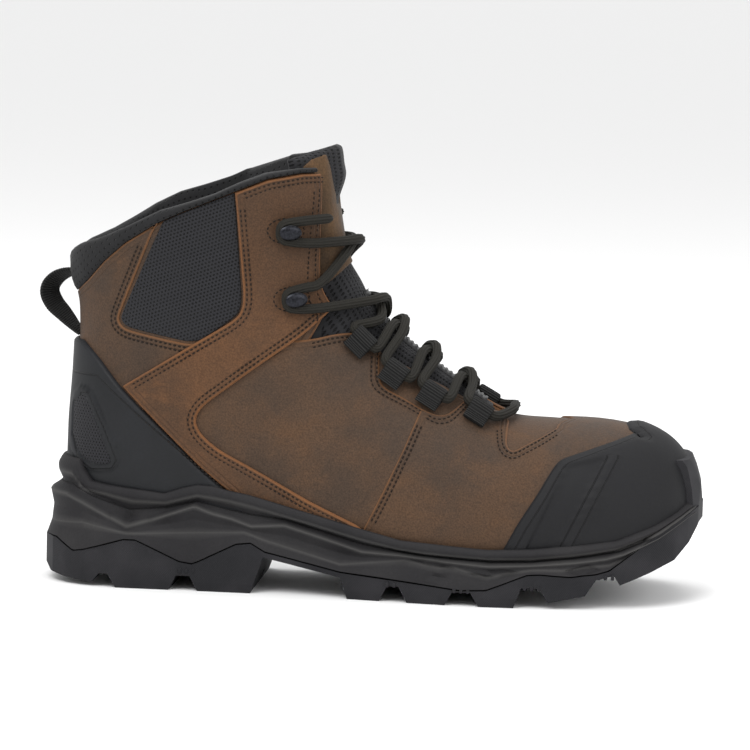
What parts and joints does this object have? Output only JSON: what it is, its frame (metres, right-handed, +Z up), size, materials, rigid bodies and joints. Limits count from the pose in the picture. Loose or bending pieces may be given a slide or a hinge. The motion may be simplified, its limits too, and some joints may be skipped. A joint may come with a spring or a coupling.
{
  "type": "safety boot",
  "caption": "Lace-up leather safety boot for the right foot, with a rubber toe cap, moulded heel counter, padded cuff, webbing lace loops, speed hooks and a lugged sole.",
  "frame": {"origin": "middle of the boot's bounding box, at the ground", "axes": "+X towards the toe, +Y towards the inner (medial) side, +Z up"},
  "size_m": [0.3164, 0.1142, 0.2078],
  "materials": {
    "leather": "matt waxed nubuck",
    "strap_leather": "matt waxed nubuck",
    "rubber": "matt",
    "midsole_foam": "matt moulded foam",
    "cap_rubber": "matt",
    "counter_plastic": "satin",
    "mesh": "open mesh",
    "lining": "padded mesh",
    "footbed": "felted",
    "webbing": "ribbed webbing",
    "lace_cord": "braided cord",
    "gunmetal": "dark, satin"
  },
  "bodies": {
    "root": {"upper": "leather", "midsole": "midsole_foam", "outsole": "rubber", "insole": "footbed", "tongue": "lining", "tongue_strip": "webbing", "cuff": "lining", "toe_cap": "cap_rubber", "heel_counter": "counter_plastic", "pull_loop": "webbing", "lace": "lace_cord", "ankle_strap_lateral": "strap_leather", "ankle_mesh_lateral": "mesh", "counter_mesh_lateral": "mesh", "lace_loop_lateral_1": "webbing", "lace_loop_lateral_2": "webbing", "lace_loop_lateral_3": "webbing", "lace_loop_lateral_4": "webbing", "hook_lateral_1": "gunmetal", "hook_lateral_2": "gunmetal", "ankle_strap_medial": "strap_leather", "ankle_mesh_medial": "mesh", "counter_mesh_medial": "mesh", "lace_loop_medial_1": "webbing", "lace_loop_medial_2": "webbing", "lace_loop_medial_3": "webbing", "lace_loop_medial_4": "webbing", "hook_medial_1": "gunmetal", "hook_medial_2": "gunmetal"}
  },
  "joints": []
}
